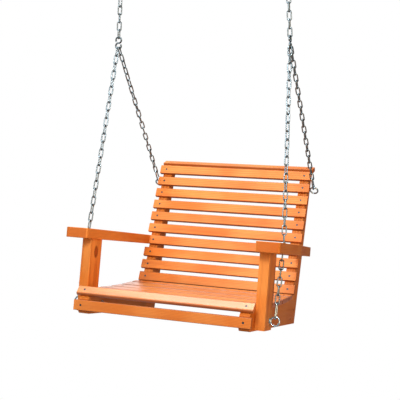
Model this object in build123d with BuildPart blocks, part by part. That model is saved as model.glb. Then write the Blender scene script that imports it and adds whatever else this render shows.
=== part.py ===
from build123d import *
from math import asin, atan2, cos, degrees, radians, sin, tan
import os

os.makedirs("parts", exist_ok=True)

# A chair-width wooden porch swing with a roll back, hung by chains from two ceiling hangers.
# Row frame, millimetres: X to the sitter's left, Y to the back, Z up. The origin lies on the
# ceiling, midway between the hangers. The seat has its own frame, tilted back about X as it
# hangs: seat y runs to the back along the seat supports and seat z stands square to them.

# ---------------------------------------------------------------- driving dimensions
SEAT_TILT = 12.6            # degrees the seat hangs leaned back
SEAT_ORIGIN_Y = -420.0      # seat frame origin in the row frame: foot of the apron's face
SEAT_DROP = 960.0           # lower loop of the S-hooks above the seat frame origin

STOCK = 38.0                # planed two-inch lumber, used for the whole frame
SLAT_THICK = 18.0
SLAT_WIDE = 38.0
BOARD_WIDE = 89.0           # planed four-inch board of the seat
SLAT_HALF = 340.0           # half the length of the slats
FRAME_OUT = 329.0           # outer faces of the supports
EDGE_ROUND = 2.5            # eased edges of slats and boards

BACK_LEAN = 16.1            # lean of the back line from seat z
SLAT_PITCH = 54.5
LOW_SLAT = (562.9, 139.2)   # centre of the lowest back slat's front face, in seat y and z
ROLL_LEAN = 68.0            # lean of the top slat, which lies on the rolled end
ROLL_REAR = (760.0, 655.0)  # rear upper edge of the top slat

SEAT_LOW_Y = 150.0          # lowest point of the dished seat
SEAT_LOW_Z = 93.0
SEAT_DISH = 1.736e-4
BOARD_GAP = 8.0
BOARD_REAR = 541.0
BOARD_ROUND = 5.0           # rounded edges of the seat boards
ROLL_BOARD_REAR = (35.0, 103.0)   # rear upper edge of the front roll slat
ROLL_BOARD_LEAN = 39.0            # lean of its face from seat z

APRON_LOW = 12.0
APRON_TOP = 50.0

POST_Y = 77.0
POST_DEEP = 89.0
POST_FOOT = 4.0
ARM_Z = 276.0
ARM_IN = 325.0
ARM_WIDE = 89.0
ARM_FRONT = 27.0
ARM_TAPER_Y = 330.0
ARM_REAR = 662.0
ARM_REAR_OUT = 372.0
CHAIN_HOLE = (390.0, 162.0)       # centre of the hole in the arm, seat x and y
CHAIN_HOLE_R = 14.0
CHAIN_BEND = (390.0, 164.0)       # where a front chain turns, at the top of the arm

SUPPORT_REAR_FOOT = 643.0   # the common rear line of both supports starts here
SUPPORT_REAR_LEAN = 10.6
LAP_Z = 95.0                # shoulder of the half-lap joint
LAP_FOOT = 8.0

EYE_WIRE = 6.4
EYE_RING_R = 16.0           # centreline radius of the eye
EYE_FRONT = (388.5, 130.0, 38.0)  # eye centres in the seat frame, right side
EYE_REAR = (352.0, 725.0, 553.0)
WASHER_R = 9.5
WASHER_THICK = 1.6
NUT_FLATS = 11.0
NUT_THICK = 5.5
BOLT_R = 3.0                # shank of the eye bolt
BOLT_HOLE_R = 3.25

LINK_WIRE = 5.0
LINK_BEND_R = 7.25          # centreline radius of a link's round ends
LINK_PLAY = 0.2             # gap left between two linked wires
LINK_PITCH = 30.5
UPPER_LINKS = 6
UPPER_LEAN = 3.3            # upper chains lean towards each other going up
HOOK_WIRE = 6.5             # S-hook
HOOK_LOOP_R = 11.5
HOOK_TURN = 305.0           # degrees that each loop of an S-hook is bent round
HOOK_SPREAD_X = 349.5       # lower loops of the S-hooks from the middle
LEFT_LINK_SHIFT = 3.2       # the two top links stand either side of the left S-hook's foot
RIGHT_LINK_TURNS = {"front": -42.0, "rear": 50.0}   # and round the right S-hook's loop, degrees
RIGHT_LINK_PLAY = 1.7       # play left between the right S-hook and those links

SNAP_WIRE = 6.0
SNAP_LENGTH = 56.0          # between the centrelines of its two ends
SNAP_TOP_R = 7.0
SNAP_FOOT_R = 9.0
GATE_WIRE = 5.0
GATE_PIN_R = 1.0

HANGER_WIRE = 8.0
HANGER_BEND_R = 14.0
HANGER_PLATE = (34.0, 110.0, 5.0)
HANGER_DROP = 34.0          # ceiling to the centre of the hanger's bottom bend
HANGER_HOLE_R = 4.5
HANGER_HOLE_SPAN = 76.0

SCREW_R = 2.1
SCREW_HEAD_R = 4.0
SCREW_SINK_R = 4.5
SCREW_X = 312.0

# ---------------------------------------------------------------- frames and lines
ROW_RIGHT = Vector(1, 0, 0)
UPPER_LENGTH = UPPER_LINKS * LINK_PITCH + 4 * HOOK_LOOP_R - (HANGER_WIRE + HOOK_WIRE) / 2
UPPER_LENGTH -= LINK_PLAY
HANGER_X = HOOK_SPREAD_X - UPPER_LENGTH * sin(radians(UPPER_LEAN))
HOOK_Z = -HANGER_DROP - UPPER_LENGTH * cos(radians(UPPER_LEAN))

SEAT_Y_DIR = Vector(0, cos(radians(SEAT_TILT)), -sin(radians(SEAT_TILT)))
SEAT_Z_DIR = Vector(0, sin(radians(SEAT_TILT)), cos(radians(SEAT_TILT)))
SEAT_ORIGIN = Vector(0, SEAT_ORIGIN_Y, HOOK_Z - SEAT_DROP)

BACK_DIR = (sin(radians(BACK_LEAN)), cos(radians(BACK_LEAN)))
BACK_NORMAL = (BACK_DIR[1], -BACK_DIR[0])
ROLL_DIR = (sin(radians(ROLL_LEAN)), cos(radians(ROLL_LEAN)))
ROLL_NORMAL = (ROLL_DIR[1], -ROLL_DIR[0])
FRONT_DIR = (sin(radians(ROLL_BOARD_LEAN)), cos(radians(ROLL_BOARD_LEAN)))
FRONT_NORMAL = (FRONT_DIR[1], -FRONT_DIR[0])


def seat_point(x, y, z):
    """A point of the seat frame, in the row frame."""
    return SEAT_ORIGIN + ROW_RIGHT * x + SEAT_Y_DIR * y + SEAT_Z_DIR * z


def side_plane(x):
    """The seat's side view at one x: sketch x is seat y and sketch y is seat z."""
    return Plane(origin=seat_point(x, 0, 0), x_dir=SEAT_Y_DIR, z_dir=ROW_RIGHT)


def plan_plane(z):
    """The seat's plan at one height above the seat supports' feet."""
    return Plane(origin=seat_point(0, 0, z), x_dir=ROW_RIGHT, z_dir=SEAT_Z_DIR)


def slide(point, direction, distance):
    """A side-view point moved along a direction."""
    return (point[0] + direction[0] * distance, point[1] + direction[1] * distance)


def seat_height(y):
    """Upper face of the dished seat at one depth."""
    return SEAT_LOW_Z + SEAT_DISH * (y - SEAT_LOW_Y) ** 2


def front_edge(z):
    """Front edge of the back support, where the slats lie, at one height."""
    start = slide(LOW_SLAT, BACK_NORMAL, SLAT_THICK)
    return start[0] + (z - start[1]) * tan(radians(BACK_LEAN))


def rear_edge(z):
    """Rear edge shared by the seat and back supports at one height."""
    return SUPPORT_REAR_FOOT + z * tan(radians(SUPPORT_REAR_LEAN))


def save(piece, name):
    """Label one finished piece and write it."""
    piece.part.label = name
    export_step(piece.part, f"parts/{name}.step")


# ---------------------------------------------------------------- wood screws
def screw_planes(point, normal, span=SCREW_X):
    """Where the two end screws of a slat enter, for a side-view point on its outer face."""
    outward = SEAT_Y_DIR * normal[0] + SEAT_Z_DIR * normal[1]
    spots = [seat_point(side * span, point[0], point[1]) for side in (-1, 1)]
    return [Plane(origin=spot, x_dir=ROW_RIGHT, z_dir=outward) for spot in spots]


def make_screw(length):
    """A countersunk square-drive screw, its head at the origin, pointing down."""
    head_deep = SCREW_HEAD_R - SCREW_R
    with BuildPart() as screw:
        with BuildSketch(Plane.XZ):
            with BuildLine():
                Polyline(
                    (0, -0.4),
                    (SCREW_HEAD_R, -0.4),
                    (SCREW_R, -0.4 - head_deep),
                    (SCREW_R, -length + 3 * SCREW_R),
                    (0, -length),
                    (0, -0.4),
                )
            make_face()
        revolve(axis=Axis.Z)
        with BuildSketch(Plane.XY.offset(-0.4)):
            Rectangle(2.4, 2.4)
        extrude(amount=-1.8, mode=Mode.SUBTRACT)
    return screw.part


def save_screws(name, planes, length):
    """One node of identical screws."""
    screw = make_screw(length)
    with BuildPart() as group:
        with Locations(*planes):
            add(screw)
    save(group, name)


# ---------------------------------------------------------------- slats and boards
def make_slat(name, face_centre, lean, width, half, round_front=EDGE_ROUND):
    """A slat across the swing with two countersunk screw holes near its ends."""
    along = (sin(radians(lean)), cos(radians(lean)))
    outward = (-along[1], along[0])
    middle = slide(face_centre, outward, -SLAT_THICK / 2)
    screw_span = min(SCREW_X, half - 16.0)
    with BuildPart() as slat:
        with BuildSketch(side_plane(-half)):
            with Locations(middle):
                RectangleRounded(SLAT_THICK, width, round_front, rotation=-lean)
        extrude(amount=2 * half)
        with Locations(*screw_planes(face_centre, outward, screw_span)):
            CounterSinkHole(SCREW_R + 0.1, SCREW_SINK_R, SLAT_THICK, counter_sink_angle=90)
    save(slat, name)
    return screw_planes(face_centre, outward, screw_span)


back_screw_planes = []
for index in range(1, 11):
    slat_face = slide(LOW_SLAT, BACK_DIR, (10 - index) * SLAT_PITCH)
    # the slat between the arms ends at their inner faces
    slat_half = ARM_IN if index == 7 else SLAT_HALF
    slat_name = f"back_slat_{index:02d}"
    back_screw_planes += make_slat(slat_name, slat_face, BACK_LEAN, SLAT_WIDE, slat_half)

roll_face = slide(ROLL_REAR, ROLL_DIR, -SLAT_WIDE / 2)
back_screw_planes += make_slat("top_roll_slat", roll_face, ROLL_LEAN, SLAT_WIDE, SLAT_HALF, 4.0)
save_screws("back_slat_screws", back_screw_planes, 36.0)

front_face = slide(ROLL_BOARD_REAR, FRONT_DIR, -SLAT_WIDE / 2)
seat_screw_planes = make_slat(
    "front_roll_slat", front_face, ROLL_BOARD_LEAN, SLAT_WIDE, SLAT_HALF, 7.0
)

# board widths from the rear to the front; the two front boards end at the arm posts
board_widths = [46.0, BOARD_WIDE, BOARD_WIDE, BOARD_WIDE, BOARD_WIDE, 47.0]
board_edges = []
rear = BOARD_REAR
for width in board_widths:
    board_edges.append((rear - width, rear))
    rear -= width + BOARD_GAP
board_edges.reverse()

board_undersides = []
for index, (near, far) in enumerate(board_edges, start=1):
    slope = atan2(seat_height(far) - seat_height(near), far - near)
    board_long = (far - near) / cos(slope)
    board_face = ((near + far) / 2, (seat_height(near) + seat_height(far)) / 2)
    # the boards beside the arm posts end at the posts
    board_half = FRAME_OUT - 0.5 if near < POST_Y + POST_DEEP else SLAT_HALF
    board_name = f"seat_board_{index}"
    board_lean = 90.0 - degrees(slope)
    seat_screw_planes += make_slat(
        board_name, board_face, board_lean, board_long, board_half, BOARD_ROUND
    )
    inward = (sin(slope), -cos(slope))
    board_undersides.append(slide((near, seat_height(near)), inward, SLAT_THICK))
    board_undersides.append(slide((far, seat_height(far)), inward, SLAT_THICK))

apron_face = (0.0, (APRON_LOW + APRON_TOP) / 2)
apron_wide = APRON_TOP - APRON_LOW
seat_screw_planes += make_slat("front_apron", apron_face, 0.0, apron_wide, SLAT_HALF)
save_screws("seat_screws", seat_screw_planes, 38.0)

# ---------------------------------------------------------------- supports, posts and arms
FRAME_IN = FRAME_OUT - STOCK
POST_FACE = FRAME_OUT + STOCK
EYE_FRONT_HOLE = (EYE_FRONT[1], EYE_FRONT[2])
EYE_REAR_HOLE = (EYE_REAR[1], EYE_REAR[2])
LAP_SCREWS = [(577.0, 20.0), (624.0, 55.0)]
POST_SCREWS = [(95.0, 28.0), (152.0, 24.0)]
ARM_SCREW_YS = [100.0, 145.0]
ARM_REAR_SCREW = (645.0, 295.0)

# side view of the half-thickness tongue that joins the back support to the seat support
lap_outline = [
    (front_edge(LAP_FOOT), LAP_FOOT),
    (rear_edge(LAP_FOOT), LAP_FOOT),
    (rear_edge(LAP_Z), LAP_Z),
    (front_edge(LAP_Z), LAP_Z),
]

front_under = slide(ROLL_BOARD_REAR, FRONT_NORMAL, SLAT_THICK)
support_outline = [
    (SLAT_THICK, 0.0),
    (SUPPORT_REAR_FOOT, 0.0),
    (rear_edge(LAP_Z), LAP_Z),
    (front_edge(LAP_Z), LAP_Z),
]
support_outline += reversed(board_undersides)
support_outline.append(slide(front_under, FRONT_DIR, -4.0))
support_outline.append(slide(front_under, FRONT_DIR, -SLAT_WIDE))
support_outline.append((SLAT_THICK, APRON_TOP + 3.0))

roll_under = slide(ROLL_REAR, ROLL_NORMAL, SLAT_THICK)
head_front = slide(roll_under, ROLL_DIR, -SLAT_WIDE)
head_rear = slide(roll_under, ROLL_DIR, -5.0)
back_outline = [
    (front_edge(LAP_Z), LAP_Z),
    (front_edge(head_front[1] - 4.6), head_front[1] - 4.6),
    head_front,
    head_rear,
    (rear_edge(LAP_Z), LAP_Z),
]


def side_screw_planes(side, x, spots, outward):
    """Screw entries on a vertical face at one x, for side-view points."""
    heads = [seat_point(side * x, y, z) for y, z in spots]
    return [Plane(origin=head, x_dir=SEAT_Y_DIR, z_dir=(side * outward, 0, 0)) for head in heads]


def top_screw_planes(side):
    """Screw entries on the arm's top, over the post."""
    heads = [seat_point(side * (FRAME_OUT + POST_FACE) / 2, y, ARM_Z + STOCK) for y in ARM_SCREW_YS]
    return [Plane(origin=head, x_dir=ROW_RIGHT, z_dir=SEAT_Z_DIR) for head in heads]


HANDS = ((-1, "left"), (1, "right"))      # as seen from the front
lap_screw_planes = []
post_screw_planes = []
arm_screw_planes = []
rear_screw_planes = []
for side, hand in HANDS:
    lap_planes = side_screw_planes(side, FRAME_OUT, LAP_SCREWS, 1)
    post_planes = side_screw_planes(side, FRAME_IN, POST_SCREWS, -1)
    rear_planes = side_screw_planes(side, FRAME_IN, [ARM_REAR_SCREW], -1)
    arm_planes = top_screw_planes(side)
    lap_screw_planes += lap_planes
    post_screw_planes += post_planes
    rear_screw_planes += rear_planes
    arm_screw_planes += arm_planes

    with BuildPart() as seat_support:
        with BuildSketch(side_plane(side * FRAME_OUT)):
            with BuildLine():
                Polyline(*support_outline, close=True)
            make_face()
            fillet(vertices().sort_by(Axis.Y)[:2].sort_by(Axis.X)[0], 14.0)
        extrude(amount=-side * STOCK)
        with BuildSketch(side_plane(side * FRAME_IN)):
            with BuildLine():
                Polyline(*lap_outline, close=True)
            make_face()
        extrude(amount=side * STOCK / 2, mode=Mode.SUBTRACT)
        with BuildSketch(side_plane(side * FRAME_OUT)):
            with Locations(EYE_FRONT_HOLE):
                Circle(BOLT_HOLE_R)
        extrude(amount=-side * STOCK, mode=Mode.SUBTRACT)
        with Locations(*lap_planes, *post_planes):
            CounterSinkHole(SCREW_R + 0.1, SCREW_SINK_R, STOCK, counter_sink_angle=90)
    save(seat_support, f"seat_support_{hand}")

    with BuildPart() as back_support:
        with BuildSketch(side_plane(side * FRAME_OUT)):
            with BuildLine():
                Polyline(*back_outline, close=True)
            make_face()
            fillet(vertices().sort_by(Axis.Y)[-1], 5.0)
        extrude(amount=-side * STOCK)
        with BuildSketch(side_plane(side * FRAME_IN)):
            with BuildLine():
                Polyline(*lap_outline, close=True)
            make_face()
        extrude(amount=side * STOCK / 2)
        with BuildSketch(side_plane(side * FRAME_OUT)):
            with Locations(EYE_REAR_HOLE):
                Circle(BOLT_HOLE_R)
        extrude(amount=-side * STOCK, mode=Mode.SUBTRACT)
        with Locations(*rear_planes):
            CounterSinkHole(SCREW_R + 0.1, SCREW_SINK_R, STOCK, counter_sink_angle=90)
    save(back_support, f"back_support_{hand}")

    with BuildPart() as post:
        with BuildSketch(side_plane(side * FRAME_OUT)):
            with Locations((POST_Y + POST_DEEP / 2, (POST_FOOT + ARM_Z) / 2)):
                Rectangle(POST_DEEP, ARM_Z - POST_FOOT)
        extrude(amount=side * STOCK)
        fillet(post.edges().filter_by(Axis(seat_point(0, 0, 0), SEAT_Z_DIR)), EDGE_ROUND)
        with BuildSketch(side_plane(side * FRAME_OUT)):
            with Locations(EYE_FRONT_HOLE):
                Circle(BOLT_HOLE_R)
        extrude(amount=side * STOCK, mode=Mode.SUBTRACT)
    save(post, f"arm_post_{hand}")

    with BuildPart() as arm:
        with BuildSketch(plan_plane(ARM_Z)):
            with BuildLine():
                Polyline(
                    (side * ARM_IN, ARM_FRONT),
                    (side * (ARM_IN + ARM_WIDE), ARM_FRONT),
                    (side * (ARM_IN + ARM_WIDE), ARM_TAPER_Y),
                    (side * ARM_REAR_OUT, ARM_REAR),
                    (side * ARM_IN, ARM_REAR),
                    close=True,
                )
            make_face()
            fillet(vertices().group_by(Axis.Y)[0], 10.0)
            rear_corners = vertices().group_by(Axis.Y)[-1].sort_by(Axis.X)
            fillet(rear_corners[-1] if side > 0 else rear_corners[0], 12.0)
        extrude(amount=STOCK)
        rims = arm.faces().sort_by(Axis(seat_point(0, 0, 0), SEAT_Z_DIR))
        fillet(rims[0].outer_wire().edges() + rims[-1].outer_wire().edges(), EDGE_ROUND)
        # hole for the chain, and a rebate beside the back support
        with BuildSketch(plan_plane(ARM_Z)):
            with Locations((side * CHAIN_HOLE[0], CHAIN_HOLE[1])):
                Circle(CHAIN_HOLE_R)
            with Locations((side * (ARM_IN + FRAME_OUT) / 2, ARM_REAR)):
                Rectangle(FRAME_OUT - ARM_IN, 2 * (ARM_REAR - front_edge(ARM_Z) + 1.0))
        extrude(amount=STOCK, mode=Mode.SUBTRACT)
        with Locations(*arm_planes):
            CounterSinkHole(SCREW_R + 0.1, SCREW_SINK_R, STOCK, counter_sink_angle=90)
    save(arm, f"arm_{hand}")

save_screws("lap_screws", lap_screw_planes, 34.0)
save_screws("post_screws", post_screw_planes, 68.0)
save_screws("arm_screws", arm_screw_planes, 70.0)
save_screws("arm_rear_screws", rear_screw_planes, 60.0)


# ---------------------------------------------------------------- chain
def make_link(pitch):
    """One welded link, long way up, its width along X."""
    straight = pitch / 2 + (LINK_WIRE + LINK_PLAY) / 2 - LINK_BEND_R
    with BuildPart() as link:
        with BuildLine(Plane.XZ) as path:
            Line((LINK_BEND_R, 0), (LINK_BEND_R, straight))
            CenterArc((0, straight), LINK_BEND_R, 0, 180)
            Line((-LINK_BEND_R, straight), (-LINK_BEND_R, -straight))
            CenterArc((0, -straight), LINK_BEND_R, 180, 180)
            Line((LINK_BEND_R, -straight), (LINK_BEND_R, 0))
        with BuildSketch(Plane(origin=(LINK_BEND_R, 0, 0), z_dir=(0, 0, 1))):
            Circle(LINK_WIRE / 2)
        sweep(path=path.wires()[0])
    return link.part


def link_plane(start, end, twist):
    """A link's plane between two joints; twist turns its width from row X."""
    up = (start - end).normalized()
    across = (ROW_RIGHT - up * ROW_RIGHT.dot(up)).normalized()
    width_dir = across * cos(radians(twist)) + up.cross(across) * sin(radians(twist))
    return Plane(origin=(start + end) / 2, x_dir=width_dir, z_dir=up)


def joints_between(start, end, count):
    """Evenly spaced joints of a straight run of chain."""
    return [start + (end - start) * (step / count) for step in range(count + 1)]


def even_twist(first, last, count):
    """Twist from link to link, near a right angle, that ends as asked."""
    halves = round((90.0 * (count - 1) - (last - first)) / 180.0)
    return (last - first + 180.0 * halves) / (count - 1)


def save_run(name, runs, first_twist, step):
    """One chain: for each straight run, a link between each pair of joints."""
    twist = first_twist
    with BuildPart() as chain:
        for joints in runs:
            link = make_link((joints[0] - joints[1]).length)
            planes = []
            for upper, lower in zip(joints, joints[1:]):
                planes.append(link_plane(upper, lower, twist))
                twist += step
            with Locations(*planes):
                add(link)
    save(chain, name)


# ---------------------------------------------------------------- S-hook, hanger, snap hook
def make_s_hook():
    """An S-hook in the XZ plane: two open loops that meet at the origin."""
    with BuildPart() as hook:
        with BuildLine(Plane.XZ) as path:
            CenterArc((0, HOOK_LOOP_R), HOOK_LOOP_R, HOOK_TURN - 90, -HOOK_TURN)
            CenterArc((0, -HOOK_LOOP_R), HOOK_LOOP_R, 90, HOOK_TURN)
        hook_wire = path.wires()[0]
        with BuildSketch(Plane(origin=hook_wire @ 0, z_dir=hook_wire % 0)):
            Circle(HOOK_WIRE / 2)
        sweep(path=hook_wire)
    return hook.part


def make_hanger():
    """Ceiling plate with a welded U of round bar below it, at the origin."""
    bend_z = HANGER_BEND_R - HANGER_DROP
    with BuildPart() as hanger:
        with BuildSketch(Plane.XY):
            RectangleRounded(HANGER_PLATE[0], HANGER_PLATE[1], 8.0)
            with Locations((0, HANGER_HOLE_SPAN / 2), (0, -HANGER_HOLE_SPAN / 2)):
                Circle(HANGER_HOLE_R, mode=Mode.SUBTRACT)
        extrude(amount=-HANGER_PLATE[2])
        with BuildLine(Plane.XZ) as path:
            Line((-HANGER_BEND_R, -HANGER_PLATE[2] + 1.0), (-HANGER_BEND_R, bend_z))
            CenterArc((0, bend_z), HANGER_BEND_R, 180, 180)
            Line((HANGER_BEND_R, bend_z), (HANGER_BEND_R, -HANGER_PLATE[2] + 1.0))
        with BuildSketch(Plane.XY.offset(-HANGER_PLATE[2] + 1.0)):
            with Locations((-HANGER_BEND_R, 0)):
                Circle(HANGER_WIRE / 2)
        sweep(path=path.wires()[0])
    return hanger.part


SNAP_FOOT = (0, SNAP_FOOT_R)
SNAP_CROWN = (0, SNAP_LENGTH - SNAP_TOP_R)
GATE_PIN = (SNAP_TOP_R + 0.2, SNAP_LENGTH - 11.0)
GATE_TOP_Z = GATE_PIN[1] + 2.2
GATE_FOOT = (SNAP_FOOT_R - 0.3, SNAP_FOOT_R + 5.0)
TONGUE_THICK = 2.0


def make_snap():
    """Snap hook body in the XZ plane: nose, spine, crown and a flat tongue for the gate."""
    slope = degrees(asin((SNAP_FOOT_R - SNAP_TOP_R) / (SNAP_CROWN[1] - SNAP_FOOT[1])))
    with BuildPart() as snap:
        with BuildLine(Plane.XZ) as path:
            nose = CenterArc(SNAP_FOOT, SNAP_FOOT_R, 20, -200 - slope)
            crown = CenterArc(SNAP_CROWN, SNAP_TOP_R, 180 - slope, -180 + 2 * slope)
            Line(nose @ 1, crown @ 0)
        snap_wire = path.wires()[0]
        with BuildSketch(Plane(origin=snap_wire @ 0, z_dir=snap_wire % 0)):
            Circle(SNAP_WIRE / 2)
        sweep(path=snap_wire)
        with BuildSketch(Plane.XZ.offset(-TONGUE_THICK / 2)):
            with Locations((GATE_PIN[0], GATE_PIN[1] + 1.2)):
                SlotCenterToCenter(5.0, 5.0, rotation=90)
            with Locations(GATE_PIN):
                Circle(GATE_PIN_R, mode=Mode.SUBTRACT)
        extrude(amount=TONGUE_THICK)
    return snap.part


def make_gate():
    """Snap hook gate: a round bar with a forked top, from its pin down to the nose."""
    lean = degrees(atan2(GATE_FOOT[0] - GATE_PIN[0], GATE_PIN[1] - GATE_FOOT[1]))
    with BuildPart() as gate:
        gate_line = Plane(origin=(GATE_PIN[0], 0, GATE_PIN[1])).rotated((0, -lean, 0))
        with BuildSketch(gate_line.offset(GATE_TOP_Z - GATE_PIN[1])):
            Circle(GATE_WIRE / 2)
        extrude(amount=GATE_FOOT[1] - GATE_TOP_Z)
        with BuildSketch(Plane.XZ.offset(-TONGUE_THICK / 2 - 0.2)):
            with Locations((GATE_PIN[0], GATE_PIN[1])):
                Rectangle(2 * GATE_WIRE, 12.0)
        extrude(amount=TONGUE_THICK + 0.4, mode=Mode.SUBTRACT)
        with BuildSketch(Plane.XZ.offset(-GATE_WIRE)):
            with Locations(GATE_PIN):
                Circle(GATE_PIN_R + 0.05)
        extrude(amount=2 * GATE_WIRE, mode=Mode.SUBTRACT)
    return gate.part


# ---------------------------------------------------------------- hanging parts, side by side
s_hook = make_s_hook()
hanger_part = make_hanger()
snap_part = make_snap()
gate_part = make_gate()
link_end = (LINK_WIRE + LINK_PLAY) / 2
on_hook = (HOOK_WIRE + LINK_WIRE) / 2 + LINK_PLAY - link_end
snap_planes = []
eye_planes = {"front": [], "rear": []}

for side, hand in HANDS:
    bar = Vector(side * HANGER_X, 0, -HANGER_DROP)
    hook_foot = Vector(side * HOOK_SPREAD_X, 0, HOOK_Z)
    down = (hook_foot - bar).normalized()

    with BuildPart() as hanger:
        with Locations((side * HANGER_X, 0, 0)):
            add(hanger_part)
    save(hanger, f"hanger_{hand}")

    # six links down to the S-hook, which hangs face-on at the left and edge-on at the right
    top_joint = bar - down * (HANGER_WIRE + LINK_PLAY) / 2
    upper = joints_between(top_joint, top_joint + down * UPPER_LINKS * LINK_PITCH, UPPER_LINKS)
    step = 72.0 if hand == "left" else 90.0
    save_run(f"top_link_{hand}", [upper[:2]], 90.0, step)
    save_run(f"upper_chain_{hand}", [upper[1:]], 90.0 + step, step)

    hook_turn = 0.0 if hand == "left" else 90.0
    hook_middle = hook_foot - down * 2 * HOOK_LOOP_R
    with BuildPart() as hook:
        with Locations(link_plane(hook_middle - down, hook_middle + down, hook_turn)):
            add(s_hook)
    save(hook, f"s_hook_{hand}")

    # front and rear chains: joints from the S-hook to the snap hook
    eye_front = seat_point(side * EYE_FRONT[0], EYE_FRONT[1], EYE_FRONT[2])
    eye_rear = seat_point(side * EYE_REAR[0], EYE_REAR[1], EYE_REAR[2])
    arm_hole = seat_point(side * CHAIN_BEND[0], CHAIN_BEND[1], ARM_Z + STOCK)
    loop_centre = hook_foot - down * HOOK_LOOP_R
    loop_reach = HOOK_LOOP_R - (HOOK_WIRE + LINK_WIRE) / 2 - RIGHT_LINK_PLAY
    for place, eye, target, upper_count in (
        ("front", eye_front, arm_hole, 23),
        ("rear", eye_rear, eye_rear, 21),
    ):
        leg = (target - hook_foot).normalized()
        if hand == "left":
            shift = LEFT_LINK_SHIFT if place == "front" else -LEFT_LINK_SHIFT
            start = hook_foot + ROW_RIGHT * side * shift - down - leg * on_hook
            first_twist = 90.0
        else:
            # the links stand clear of the S-hook by the play of the opened pivot
            angle = radians(RIGHT_LINK_TURNS[place])
            rest = Vector(0, sin(angle), 0) + down * cos(angle)
            start = loop_centre + rest * loop_reach + leg * link_end
            first_twist = 0.0
        last_leg = (eye - arm_hole).normalized() if place == "front" else leg
        snap_foot = eye - last_leg * (EYE_RING_R - (EYE_WIRE + SNAP_WIRE) / 2 - LINK_PLAY)
        snap_top = snap_foot - last_leg * SNAP_LENGTH
        end = snap_top + last_leg * ((SNAP_WIRE + LINK_WIRE) / 2 + LINK_PLAY - link_end)
        runs = [joints_between(start, end if place == "rear" else arm_hole, upper_count)]
        if place == "front":
            runs.append(joints_between(arm_hole, end, 7))
        count = sum(len(joints) - 1 for joints in runs)
        save_run(f"{place}_chain_{hand}", runs, first_twist, even_twist(first_twist, 0.0, count))

        # the snap hook opens to the rear
        across = ROW_RIGHT.cross(last_leg)
        snap_plane = Plane(origin=snap_foot, x_dir=across, z_dir=last_leg * -1)
        snap_planes.append(snap_plane)
        eye_planes[place].append((side, eye, Plane(origin=eye, x_dir=ROW_RIGHT, z_dir=across)))
        with BuildPart() as snap:
            with Locations(snap_plane):
                add(snap_part)
        save(snap, f"snap_{place}_{hand}")
        with BuildPart() as gate:
            with Locations(snap_plane):
                add(gate_part)
        save(gate, f"snap_gate_{place}_{hand}")

with BuildPart() as gate_pins:
    for snap_plane in snap_planes:
        pin_at = snap_plane.from_local_coords((GATE_PIN[0], 0, GATE_PIN[1]))
        with BuildSketch(Plane(origin=pin_at, z_dir=snap_plane.y_dir)):
            Circle(GATE_PIN_R)
        extrude(amount=GATE_WIRE / 2 + 0.2, both=True)
save(gate_pins, "gate_pins")

# ---------------------------------------------------------------- eye bolts, washers and nuts
for place in ("front", "rear"):
    with BuildPart() as eye_bolts:
        for side, eye, ring_plane in eye_planes[place]:
            with BuildSketch(ring_plane * Pos(EYE_RING_R, 0, 0) * Rot(90, 0, 0)):
                Circle(EYE_WIRE / 2)
            revolve(axis=Axis(eye, ring_plane.z_dir))
            shank_start = eye - ROW_RIGHT * side * (EYE_RING_R - 1.0)
            shank_end = side * (FRAME_IN - WASHER_THICK - NUT_THICK - 2.5)
            with BuildSketch(Plane(origin=shank_start, z_dir=(-side, 0, 0))):
                Circle(BOLT_R)
            extrude(amount=abs(shank_start.X - shank_end))
    save(eye_bolts, f"eye_bolts_{place}")

with BuildPart() as washers:
    for place, outer_face in (("front", POST_FACE), ("rear", FRAME_OUT)):
        for side, eye, ring_plane in eye_planes[place]:
            for face, outward in ((outer_face, 1), (FRAME_IN, -1)):
                seat_on = Vector(side * face, eye.Y, eye.Z)
                with BuildSketch(Plane(origin=seat_on, z_dir=(side * outward, 0, 0))):
                    Circle(WASHER_R)
                    Circle(BOLT_R, mode=Mode.SUBTRACT)
                extrude(amount=WASHER_THICK)
save(washers, "eye_bolt_washers")

with BuildPart() as nuts:
    for side, eye, ring_plane in eye_planes["front"] + eye_planes["rear"]:
        seat_on = Vector(side * (FRAME_IN - WASHER_THICK), eye.Y, eye.Z)
        with BuildSketch(Plane(origin=seat_on, z_dir=(-side, 0, 0))):
            RegularPolygon(NUT_FLATS / 2, 6, major_radius=False)
            Circle(BOLT_R, mode=Mode.SUBTRACT)
        extrude(amount=NUT_THICK)
save(nuts, "eye_bolt_nuts")
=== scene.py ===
from math import cos, pi, radians, sin

import bmesh
import bpy
import numpy as np
from mathutils import Matrix, Vector


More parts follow.
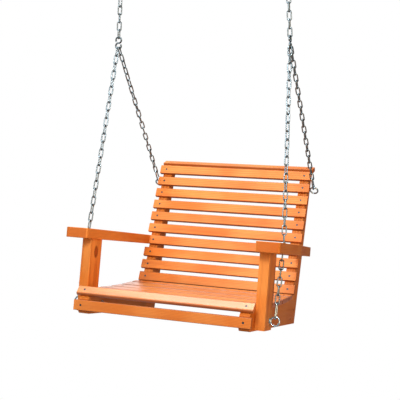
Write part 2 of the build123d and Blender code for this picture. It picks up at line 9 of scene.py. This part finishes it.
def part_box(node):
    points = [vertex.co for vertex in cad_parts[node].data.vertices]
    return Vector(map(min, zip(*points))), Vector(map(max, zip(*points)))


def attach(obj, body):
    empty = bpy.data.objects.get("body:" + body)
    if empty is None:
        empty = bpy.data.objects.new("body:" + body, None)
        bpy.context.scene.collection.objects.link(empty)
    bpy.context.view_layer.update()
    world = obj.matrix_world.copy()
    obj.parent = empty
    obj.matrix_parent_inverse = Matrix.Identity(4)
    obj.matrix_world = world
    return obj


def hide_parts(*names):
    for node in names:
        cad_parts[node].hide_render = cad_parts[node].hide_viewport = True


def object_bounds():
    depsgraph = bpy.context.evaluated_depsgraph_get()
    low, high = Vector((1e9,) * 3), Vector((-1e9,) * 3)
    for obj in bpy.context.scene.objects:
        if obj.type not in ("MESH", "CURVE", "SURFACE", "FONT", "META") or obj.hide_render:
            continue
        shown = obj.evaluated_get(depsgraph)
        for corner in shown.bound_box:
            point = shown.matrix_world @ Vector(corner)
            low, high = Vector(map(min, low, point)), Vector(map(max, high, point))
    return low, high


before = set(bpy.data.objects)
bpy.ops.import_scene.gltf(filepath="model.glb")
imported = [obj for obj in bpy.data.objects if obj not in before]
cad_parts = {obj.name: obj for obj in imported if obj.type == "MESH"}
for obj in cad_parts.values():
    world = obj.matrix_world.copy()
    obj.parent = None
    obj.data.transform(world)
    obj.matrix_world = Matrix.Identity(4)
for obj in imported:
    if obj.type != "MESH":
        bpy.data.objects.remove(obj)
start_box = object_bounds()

# A wooden porch swing on zinc-plated chains, in a white studio. Metres, in the CAD row's frame.

# ---------------------------------------------------------------- driving values
SEAT_TILT = radians(12.6)          # the seat hangs leaned back
BACK_LEAN = radians(16.1)          # the back's line from the seat's own upright
SUPPORT_LEAN = 0.85 * BACK_LEAN    # the grain of the back supports
ROLL_LEAN = radians(68.0)
FRONT_LEAN = radians(39.0)
KNOT_UP = 0.088                    # the left post's knot above the post's middle
KNOT_SIZE = 0.034

CAMERA_AZIMUTH = radians(20.8)
CAMERA_DROP = radians(8.6)
CAMERA_ROLL = radians(0.2)
CAMERA_DISTANCE = 3.239
CAMERA_LENS = 80.06                # millimetres on a 36 mm sensor
AIM_FROM_APRON = Vector((0.0782, 0.1905, 0.3845))   # view centre from the apron's middle

FLOOR_BELOW = 0.42                 # the swing's lowest point above the floor
BOWL_RADIUS = 9.0
BOWL_BEND = 3.0
BOWL_HEIGHT = 7.0
BOWL_SIDES = 96
BOWL_STEPS = 12                    # rings in the curve from the floor to the wall
BOWL_GREY = 0.30                   # how much light the bowl throws back
SKY_STRENGTH = 0.2

# name, place from the view centre, side in metres, watts, colour
SOFTBOXES = (
    ("key", (-1.7, -3.0, 1.6), 0.9, 22, (1.0, 0.99, 0.97)),
    ("front", (0.25, -1.5, 1.25), 0.6, 31, (1.0, 0.98, 0.96)),
    ("top", (-0.8, 0.1, 2.5), 1.6, 80, (1, 1, 1)),
    ("fill", (2.8, -1.8, 0.4), 1.8, 54, (1.0, 0.66, 0.38)),
)

LINK_WIRE_R = 0.0025
LINK_BEND_R = 0.00725
LINK_SIDES = 16
BEND_STEPS = 12
BEND_WEAR = 0.12                   # of the wire's radius, worn off inside a link's bends
WELD_PROUD = 1.10                  # the weld's bead, times the wire's radius

RIGHT = Vector((1, 0, 0))
SEAT_BACK = Vector((0, cos(SEAT_TILT), -sin(SEAT_TILT)))
SEAT_UP = Vector((0, sin(SEAT_TILT), cos(SEAT_TILT)))
HANDS = ("left", "right")


# ---------------------------------------------------------------- node material tools
class Tree:
    """Builds one material's node tree; a value may be a constant or another node's socket."""

    def __init__(self, name):
        self.material = bpy.data.materials.new(name)
        self.material.use_nodes = True
        self.tree = self.material.node_tree
        self.tree.nodes.clear()

    def put(self, socket, value):
        if isinstance(value, bpy.types.NodeSocket):
            self.tree.links.new(value, socket)
        else:
            socket.default_value = value

    def node(self, kind, inputs=(), **settings):
        made = self.tree.nodes.new(kind)
        for key, value in settings.items():
            setattr(made, key, value)
        for key, value in dict(inputs).items():
            self.put(made.inputs[key], value)
        return made

    def math(self, operation, a, b=0.0):
        return self.node("ShaderNodeMath", {0: a, 1: b}, operation=operation).outputs[0]

    def vector(self, operation, a, b=(0, 0, 0)):
        made = self.node("ShaderNodeVectorMath", {0: a, 1: b}, operation=operation)
        return made.outputs["Value" if operation == "DOT_PRODUCT" else "Vector"]

    def noise(self, vector, scale, detail=3.0, rough=0.55):
        inputs = {"Vector": vector, "Scale": scale, "Detail": detail, "Roughness": rough}
        return self.node("ShaderNodeTexNoise", inputs).outputs["Fac"]

    def spread(self, value, low, high, to_low=0.0, to_high=1.0):
        """Carries a value from one range to another, easing in and out."""
        inputs = {0: value, 1: low, 2: high, 3: to_low, 4: to_high}
        return self.node("ShaderNodeMapRange", inputs, interpolation_type="SMOOTHSTEP").outputs[0]

    def mix(self, factor, a, b, blend="MIX"):
        made = self.node("ShaderNodeMix", data_type="RGBA", blend_type=blend)
        self.put(made.inputs[0], factor)
        self.put(made.inputs[6], a)
        self.put(made.inputs[7], b)
        return made.outputs[2]

    def bump(self, height, strength, distance):
        inputs = {"Height": height, "Strength": strength, "Distance": distance}
        return self.node("ShaderNodeBump", inputs).outputs["Normal"]

    def output(self, shader):
        surface = self.node("ShaderNodeOutputMaterial").inputs["Surface"]
        self.tree.links.new(shader.outputs[0], surface)
        return self.material

    def finish(self, **inputs):
        """Ends the tree in a Principled shader; input names have underscores for spaces."""
        named = {key.replace("_", " "): value for key, value in inputs.items()}
        return self.output(self.node("ShaderNodeBsdfPrincipled", named))


# ---------------------------------------------------------------- wood
PALE = (0.83, 0.300, 0.062, 1)
AMBER = (0.71, 0.190, 0.020, 1)
LATE = (0.36, 0.058, 0.004, 1)         # the dark part of a growth ring
END_GRAIN = (0.50, 0.100, 0.008, 1)
# a knot's dark rim, and also the colour of the painted shade on the narrow sides of slats and boards
KNOT_AND_GAP_SHADE = (0.20, 0.032, 0.004, 1)

RINGS_PER_METRE = 210.0
RING_WANDER = 3.0                      # rings that the grain wanders by along a board
KNOT_SQUASH = 0.62                     # a knot's width over its length
KNOT_DEEP = 0.012
EDGE_WEAR = 0.0035                     # how far in from an edge the finish has worn
FRAME_SEED = 31                        # the frame's boards draw apart from the slats


def knot_fields(t, place, grain, across, face, knots):
    """How much of a point is knot, how much is a knot's dark rim, and how far grain is pushed."""
    mask = 0.0
    rim = 0.0
    push = 0.0
    for spot, size in knots:
        offset = t.vector("SUBTRACT", place, spot)
        reach_x = t.math("DIVIDE", t.vector("DOT_PRODUCT", offset, grain), size)
        reach_y = t.math("DIVIDE", t.vector("DOT_PRODUCT", offset, across), size * KNOT_SQUASH)
        reach_z = t.math("DIVIDE", t.vector("DOT_PRODUCT", offset, face), KNOT_DEEP)
        squares = t.math("ADD", t.math("POWER", reach_x, 2.0), t.math("POWER", reach_y, 2.0))
        squares = t.math("ADD", squares, t.math("POWER", reach_z, 2.0))
        reach = t.math("SQRT", squares)
        rim_outside = t.spread(reach, 0.50, 0.85, 1.0, 0.0)
        rim_here = t.math("MULTIPLY", t.spread(reach, 0.26, 0.44), rim_outside)
        push_here = t.math("MULTIPLY", t.spread(reach, 0.2, 3.2, 1.0, 0.0), size * 0.5)
        mask = t.math("MAXIMUM", mask, t.spread(reach, 0.30, 0.52, 1.0, 0.0))
        rim = t.math("MAXIMUM", rim, rim_here)
        push = t.math("ADD", push, push_here)
    return mask, rim, push


def late_wood(t, along_y, along_z, wander, push, seed):
    """The dark part of each growth ring round a pith line that lies below the face."""
    pith_aside = (seed % 7 - 3.0) * 0.011
    pith_below = 0.055 + (seed % 5) * 0.012 - 0.004 * (seed % 3)
    pith_y = t.math("ADD", t.math("SUBTRACT", along_y, pith_aside), push)
    pith_z = t.math("ADD", along_z, pith_below)
    squares = t.math("ADD", t.math("POWER", pith_y, 2.0), t.math("POWER", pith_z, 2.0))
    radius = t.math("SQRT", squares)
    straight_rings = t.math("MULTIPLY", radius, RINGS_PER_METRE)
    rings = t.math("ADD", straight_rings, t.math("MULTIPLY", wander, RING_WANDER))
    phase = t.math("FRACT", rings)
    return t.math("MULTIPLY", t.spread(phase, 0.25, 0.86), t.spread(phase, 0.88, 1.0, 1.0, 0.0))


def make_wood(name, grain, face, seed, gloss=0.18, coat=0.02, painted_gap_shade=0.0, knots=()):
    """Stained softwood with its grain along one direction and flat-sawn rings across the face."""
    t = Tree(name)
    across = grain.cross(face).normalized()
    place = t.node("ShaderNodeTexCoord").outputs["Object"]
    along_x = t.vector("DOT_PRODUCT", place, grain)
    along_y = t.vector("DOT_PRODUCT", place, across)
    along_z = t.vector("DOT_PRODUCT", place, face)
    knot_mask, knot_rim, push = knot_fields(t, place, grain, across, face, knots)

    # noise drawn out along the grain, from a different place for each board
    shift = Vector((seed * 3.7 % 5.0, seed * 1.9 % 3.0, seed * 2.3 % 4.0))
    axes = t.node("ShaderNodeCombineXYZ", {0: along_x, 1: along_y, 2: along_z}).outputs[0]
    wood_place = t.vector("ADD", axes, shift)
    slow = t.noise(t.vector("MULTIPLY", wood_place, (0.9, 7.0, 7.0)), 1.0, 2.0)
    streak = t.noise(t.vector("MULTIPLY", wood_place, (2.2, 46.0, 46.0)), 1.0, 4.0, 0.6)
    fibre = t.noise(t.vector("MULTIPLY", wood_place, (14.0, 900.0, 900.0)), 1.0, 2.0, 0.5)
    blotch = t.noise(wood_place, 5.0, 2.0, 0.5)
    late = late_wood(t, along_y, along_z, t.math("SUBTRACT", slow, 0.5), push, seed)

    base = t.mix(t.spread(blotch, 0.3, 0.7), PALE, AMBER)
    base = t.mix(t.math("MULTIPLY", late, 0.34), base, LATE)
    base = t.mix(t.spread(streak, 0.50, 0.78, 0.0, 0.42), base, LATE)
    base = t.mix(t.spread(streak, 0.20, 0.42, 0.35, 0.0), base, PALE)
    base = t.mix(t.spread(fibre, 0.55, 0.8, 0.0, 0.25), base, LATE)
    if knots:
        base = t.mix(t.math("MULTIPLY", knot_mask, 0.9), base, LATE)
        base = t.mix(t.math("MULTIPLY", knot_rim, 0.85), base, KNOT_AND_GAP_SHADE)

    # eased edges have lost a little stain
    shape = t.node("ShaderNodeNewGeometry")
    flat = shape.outputs["True Normal"]
    rounded = t.node("ShaderNodeBevel", {"Radius": EDGE_WEAR}, samples=4).outputs[0]
    same = t.vector("DOT_PRODUCT", rounded, flat)
    edge = t.math("MULTIPLY", t.spread(same, 0.86, 0.995, 1.0, 0.0), t.spread(blotch, 0.35, 0.6))
    base = t.mix(t.math("MULTIPLY", edge, 0.30), base, PALE)

    # sawn ends drink more stain; the narrow sides of slats and boards are darkened towards the knot
    # colour as painted shade, standing in for the shade in the gaps between them
    turn = {"vector_type": "NORMAL", "convert_from": "WORLD", "convert_to": "OBJECT"}
    local = t.node("ShaderNodeVectorTransform", {0: flat}, **turn).outputs[0]
    end = t.math("ABSOLUTE", t.vector("DOT_PRODUCT", local, grain))
    base = t.mix(t.spread(end, 0.75, 0.95, 0.0, 0.7), base, END_GRAIN)
    if painted_gap_shade:
        # painted shade: the narrow sides, which face the gaps between boards, are darkened
        side = t.math("ABSOLUTE", t.vector("DOT_PRODUCT", local, across))
        base = t.mix(t.spread(side, 0.15, 0.6, 0.0, painted_gap_shade), base, KNOT_AND_GAP_SHADE)

    # each board is a little lighter or darker than the next
    tone = 0.90 + 0.20 * ((seed * 0.618) % 1.0)
    base = t.mix(1.0, base, (tone, tone, tone, 1), "MULTIPLY")

    rough = t.math("ADD", t.spread(streak, 0.3, 0.7, 0.42, 0.55), t.math("MULTIPLY", late, -0.06))
    height = t.math("ADD", t.math("MULTIPLY", fibre, 0.5), t.math("MULTIPLY", late, 0.5))
    return t.finish(
        Base_Color=base,
        Roughness=rough,
        Normal=t.bump(height, 0.35, 0.0004),
        Specular_IOR_Level=gloss,
        Coat_Weight=coat,
        Coat_Roughness=0.30,
    )


def leaned(lean):
    """A direction in the seat's side view, leaned back from the seat's upright."""
    return SEAT_BACK * sin(lean) + SEAT_UP * cos(lean)


def dress(node, material):
    """Gives a CAD node one material."""
    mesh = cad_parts[node].data
    mesh.materials.clear()
    mesh.materials.append(material)


def dress_slats():
    """Slats and boards: grain from side to side, each cut from a different place."""
    back_face = leaned(BACK_LEAN).cross(RIGHT)
    faces = {f"back_slat_{number:02d}": back_face for number in range(1, 11)}
    faces["top_roll_slat"] = leaned(ROLL_LEAN).cross(RIGHT)
    faces["front_roll_slat"] = leaned(FRONT_LEAN).cross(RIGHT)
    faces["front_apron"] = SEAT_UP.cross(RIGHT)
    faces.update({f"seat_board_{number}": SEAT_UP for number in range(1, 7)})
    for seed, (node, face) in enumerate(faces.items(), start=1):
        # the seat's own boards are rubbed smooth and shine most
        rubbed = node.startswith(("seat_board", "front_roll"))
        gloss, coat = (0.5, 0.7) if rubbed else (0.34, 0.10)
        # how strongly painted shade darkens the narrow sides of the seat boards and of the other
        # slats
        gap_shade_amount = 0.8 if node.startswith("seat_board") else 0.6
        dress(node, make_wood(f"wood_{node}", RIGHT, face, seed, gloss, coat, gap_shade_amount))


def dress_frame():
    """Supports, posts and arms: grain along each; one knot on the left post's inner face."""
    post_lo, post_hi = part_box("arm_post_left")
    post_middle = (post_lo + post_hi) / 2
    knot_spot = Vector((post_hi.x, post_middle.y, post_middle.z)) + SEAT_UP * KNOT_UP
    kinds = {
        "seat_support": (SEAT_BACK, RIGHT),
        "back_support": (leaned(SUPPORT_LEAN), RIGHT),
        "arm_post": (SEAT_UP, RIGHT),
        "arm": (SEAT_BACK, SEAT_UP),
    }
    pieces = [(f"{kind}_{hand}", *kinds[kind]) for kind in kinds for hand in HANDS]
    for index, (node, grain, face) in enumerate(pieces):
        knots = [(knot_spot, KNOT_SIZE)] if node == "arm_post_left" else []
        dress(node, make_wood(f"wood_{node}", grain, face, FRAME_SEED + 3 * index, knots=knots))


dress_slats()
dress_frame()


# ---------------------------------------------------------------- metal
def make_zinc(name, tone, rough_low, rough_high, grime=0.35, rim=0.30):
    """Zinc plating: soft blotches, fine pits and duller patches; rim is its glancing shine."""
    t = Tree(name)
    place = t.node("ShaderNodeTexCoord").outputs["Object"]
    cloud = t.noise(place, 140.0, 3.0, 0.6)
    spangle = t.noise(place, 620.0, 2.0, 0.5)
    fine = t.noise(place, 2600.0, 2.0, 0.5)
    light = (tone * 0.78, tone, tone * 1.12, 1)
    dull = (tone * 0.44, tone * 0.55, tone * 0.62, 1)
    base = t.mix(t.spread(cloud, 0.42, 0.72, 0.0, grime), light, dull)
    base = t.mix(t.spread(spangle, 0.6, 0.8, 0.0, 0.25), base, dull)
    height = t.math("ADD", t.math("MULTIPLY", spangle, 0.7), t.math("MULTIPLY", fine, 0.3))
    return t.finish(
        Base_Color=base,
        Metallic=1.0,
        Roughness=t.spread(cloud, 0.3, 0.7, rough_low, rough_high),
        Normal=t.bump(height, 0.25, 0.0002),
        Specular_Tint=(rim, rim * 1.08, rim * 1.16, 1),
    )


chain_zinc = make_zinc("zinc_chain", 0.33, 0.26, 0.46)
hook_zinc = make_zinc("zinc_hooks", 0.22, 0.25, 0.45, 0.5)
snap_zinc = make_zinc("zinc_snaps", 0.62, 0.12, 0.26, 0.25, 0.8)
bolt_zinc = make_zinc("zinc_bolts", 0.62, 0.16, 0.32, 0.3, 0.8)
screw_zinc = make_zinc("zinc_screws", 0.10, 0.35, 0.55, 0.6)

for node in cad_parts:
    if node.startswith(("s_hook", "hanger")):
        dress(node, hook_zinc)
    elif node.startswith(("snap", "gate_pins")):
        dress(node, snap_zinc)
    elif node.startswith("eye_bolt"):
        dress(node, bolt_zinc)
    elif "screw" in node:
        dress(node, screw_zinc)


# ---------------------------------------------------------------- chain links
def link_loop(half_long, bend):
    """Centre points of a link's wire, long way along Z and wide along X, from its weld."""
    straight = half_long - bend
    points = [Vector((bend, 0, straight * part)) for part in (0.0, 0.06, 0.14, 0.6)]
    for step in range(BEND_STEPS + 1):
        turn = pi * step / BEND_STEPS
        points.append(Vector((bend * cos(turn), 0, straight + bend * sin(turn))))
    points += [Vector((-bend, 0, straight * part)) for part in (0.5, 0.0, -0.5)]
    for step in range(BEND_STEPS + 1):
        turn = pi + pi * step / BEND_STEPS
        points.append(Vector((bend * cos(turn), 0, -straight + bend * sin(turn))))
    points += [Vector((bend, 0, -straight * part)) for part in (0.6, 0.14, 0.06)]
    return points


def add_link(mesh, place, half_long, bend, wire):
    """One welded link in a bmesh: round wire, worn flat inside its bends."""
    points = link_loop(half_long, bend)
    count = len(points)
    thin = Vector((0, 1, 0))
    rings = []
    for index, point in enumerate(points):
        ahead = (points[(index + 1) % count] - points[index - 1]).normalized()
        inward = ahead.cross(thin)
        crown = max(0.0, (abs(point.z) - half_long + bend) / bend)
        # the weld's bead stands a little proud, halfway down one side
        at_weld = abs(point.z) < 0.0001 and point.x > 0
        bead = WELD_PROUD if at_weld else 1.0
        ring = []
        for side in range(LINK_SIDES):
            turn = 2 * pi * side / LINK_SIDES
            reach = inward * cos(turn) + thin * sin(turn)
            radius = wire * bead * (1.0 - BEND_WEAR * crown * max(0.0, cos(turn)))
            ring.append(mesh.verts.new(place @ (point + reach * radius)))
        rings.append(ring)
    for index in range(count):
        a, b = rings[index], rings[(index + 1) % count]
        for side in range(LINK_SIDES):
            after = (side + 1) % LINK_SIDES
            mesh.faces.new((a[side], a[after], b[after], b[side]))


def islands(mesh):
    """The loose pieces of a mesh, each a list of points."""
    parent = list(range(len(mesh.vertices)))

    def root(i):
        while parent[i] != i:
            parent[i] = parent[parent[i]]
            i = parent[i]
        return i

    # CAD meshes may repeat a point on each face's border
    seen = {}
    for vertex in mesh.vertices:
        key = tuple(round(c, 6) for c in vertex.co)
        parent[vertex.index] = seen.setdefault(key, vertex.index)
    for edge in mesh.edges:
        a, b = root(edge.vertices[0]), root(edge.vertices[1])
        parent[a] = b
    groups = {}
    for vertex in mesh.vertices:
        groups.setdefault(root(vertex.index), []).append(vertex.co)
    return list(groups.values())


def link_place(points):
    """A link's centre and axes, and half its length over the wire's centreline."""
    cloud = np.array([tuple(p) for p in points])
    middle = (cloud.max(0) + cloud.min(0)) / 2
    for _ in range(3):
        _, axes = np.linalg.eigh(np.cov((cloud - middle).T))
        spans = (cloud - middle) @ axes
        middle = middle + axes @ ((spans.max(0) + spans.min(0)) / 2)
    long_axis = Vector(axes[:, 2]).normalized()
    wide_axis = Vector(axes[:, 1]).normalized()
    thin_axis = long_axis.cross(wide_axis)
    turn = Matrix((wide_axis, thin_axis, long_axis)).transposed().to_4x4()
    half_long = (spans[:, 2].max() - spans[:, 2].min()) / 2 - LINK_WIRE_R
    return Matrix.Translation(Vector(middle)) @ turn, half_long


def add_object(name, mesh, material):
    """A smooth object from a finished bmesh, with one material."""
    data = bpy.data.meshes.new(name)
    mesh.to_mesh(data)
    mesh.free()
    for face in data.polygons:
        face.use_smooth = True
    data.materials.append(material)
    made = bpy.data.objects.new(name, data)
    bpy.context.scene.collection.objects.link(made)
    return made


def make_chain(node, body):
    """Refined links in the places of a CAD chain's links."""
    mesh = bmesh.new()
    for points in islands(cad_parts[node].data):
        place, half_long = link_place(points)
        add_link(mesh, place, half_long, LINK_BEND_R, LINK_WIRE_R)
    bmesh.ops.recalc_face_normals(mesh, faces=mesh.faces)
    chain = add_object(f"{node}_links", mesh, chain_zinc)
    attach(chain, body)
    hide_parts(node)


for hand in HANDS:
    make_chain(f"top_link_{hand}", f"{hand}_top_link")
    make_chain(f"upper_chain_{hand}", f"{hand}_upper_chain")
    make_chain(f"front_chain_{hand}", "seat")
    make_chain(f"rear_chain_{hand}", "seat")


# ---------------------------------------------------------------- studio
def make_bowl_material():
    """White for the camera; for light and reflections, dim low down and bright behind left."""
    t = Tree("studio_white")
    seen = t.node("ShaderNodeLightPath").outputs["Is Camera Ray"]
    place = t.node("ShaderNodeNewGeometry").outputs["Position"]
    x, y, height = t.node("ShaderNodeSeparateXYZ", {0: place}).outputs
    around = t.spread(height, -2.2, 2.2, 0.05, 0.42)
    around = t.math("MULTIPLY", around, t.spread(x, -3.0, 3.0, 1.0, 0.10))
    behind = t.math("MULTIPLY", t.spread(y, 2.0, 7.0, 0.0, 1.6), t.spread(height, -1.8, -0.8))
    behind = t.math("MULTIPLY", behind, t.spread(height, 0.6, 2.2, 1.0, 0.2))
    behind = t.math("MULTIPLY", behind, t.spread(x, -3.5, 0.5, 1.0, 0.0))
    glow = t.math("ADD", around, behind)
    white = t.node("ShaderNodeEmission", {"Color": (1, 1, 1, 1), "Strength": 1.0})
    shine = t.node("ShaderNodeEmission", {"Color": (1, 1, 1, 1), "Strength": glow})
    grey = (BOWL_GREY, BOWL_GREY, BOWL_GREY, 1)
    matte = t.node("ShaderNodeBsdfDiffuse", {"Color": grey})
    both = t.node("ShaderNodeAddShader", {0: shine.outputs[0], 1: matte.outputs[0]})
    return t.output(t.node("ShaderNodeMixShader", {0: seen, 1: both.outputs[0], 2: white.outputs[0]}))


def make_bowl():
    """A round floor whose rim curves up into a wall, the same from every side."""
    floor_z = start_box[0].z - FLOOR_BELOW
    flat = BOWL_RADIUS - BOWL_BEND
    profile = [(flat, 0.0)]
    for step in range(1, BOWL_STEPS + 1):
        turn = pi / 2 * step / BOWL_STEPS
        profile.append((flat + BOWL_BEND * sin(turn), BOWL_BEND * (1 - cos(turn))))
    profile.append((BOWL_RADIUS, BOWL_HEIGHT))
    turns = [2 * pi * side / BOWL_SIDES for side in range(BOWL_SIDES)]
    mesh = bmesh.new()
    centre = mesh.verts.new((0, 0, floor_z))
    rings = []
    for radius, height in profile:
        spots = [(radius * cos(turn), radius * sin(turn), floor_z + height) for turn in turns]
        rings.append([mesh.verts.new(spot) for spot in spots])
    for side in range(BOWL_SIDES):
        after = (side + 1) % BOWL_SIDES
        mesh.faces.new((centre, rings[0][side], rings[0][after]))
        for inner, outer in zip(rings, rings[1:]):
            mesh.faces.new((inner[side], outer[side], outer[after], inner[after]))
    add_object("studio_bowl", mesh, make_bowl_material())


def aim(obj, place, target):
    """Places an object that looks along its own -Z at a target."""
    obj.location = place
    obj.rotation_mode = "QUATERNION"
    obj.rotation_quaternion = (target - place).to_track_quat("-Z", "Y")


def add_softbox(target, name, offset, size, power, colour):
    """A square lamp at an offset from its target, unseen by the camera."""
    light = bpy.data.lights.new(name, "AREA")
    light.shape = "SQUARE"
    light.size = size
    light.energy = power
    light.color = colour
    lamp = bpy.data.objects.new(name, light)
    lamp.visible_camera = False
    bpy.context.scene.collection.objects.link(lamp)
    aim(lamp, target + Vector(offset), target)


make_bowl()

apron_lo, apron_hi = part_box("front_apron")
view_centre = (apron_lo + apron_hi) / 2 + AIM_FROM_APRON
for softbox in SOFTBOXES:
    add_softbox(view_centre, *softbox)

world = bpy.data.worlds.new("studio_sky")
world.use_nodes = True
bpy.context.scene.world = world
sky = world.node_tree.nodes["Background"]
sky.inputs["Color"].default_value = (1, 1, 1, 1)
sky.inputs["Strength"].default_value = SKY_STRENGTH

# ---------------------------------------------------------------- camera
lens = bpy.data.cameras.new("camera")
lens.lens = CAMERA_LENS
lens.sensor_width = 36.0
lens.clip_start = 0.1
lens.clip_end = 60.0
camera = bpy.data.objects.new("camera", lens)
bpy.context.scene.collection.objects.link(camera)
sideways = sin(CAMERA_AZIMUTH) * cos(CAMERA_DROP)
forwards = -cos(CAMERA_AZIMUTH) * cos(CAMERA_DROP)
towards_camera = Vector((sideways, forwards, sin(CAMERA_DROP)))
aim(camera, view_centre + towards_camera * CAMERA_DISTANCE, view_centre)
roll = Matrix.Rotation(CAMERA_ROLL, 3, "Z").to_quaternion()
camera.rotation_quaternion = camera.rotation_quaternion @ roll
bpy.context.scene.camera = camera
bpy.context.scene.view_settings.view_transform = "Standard"
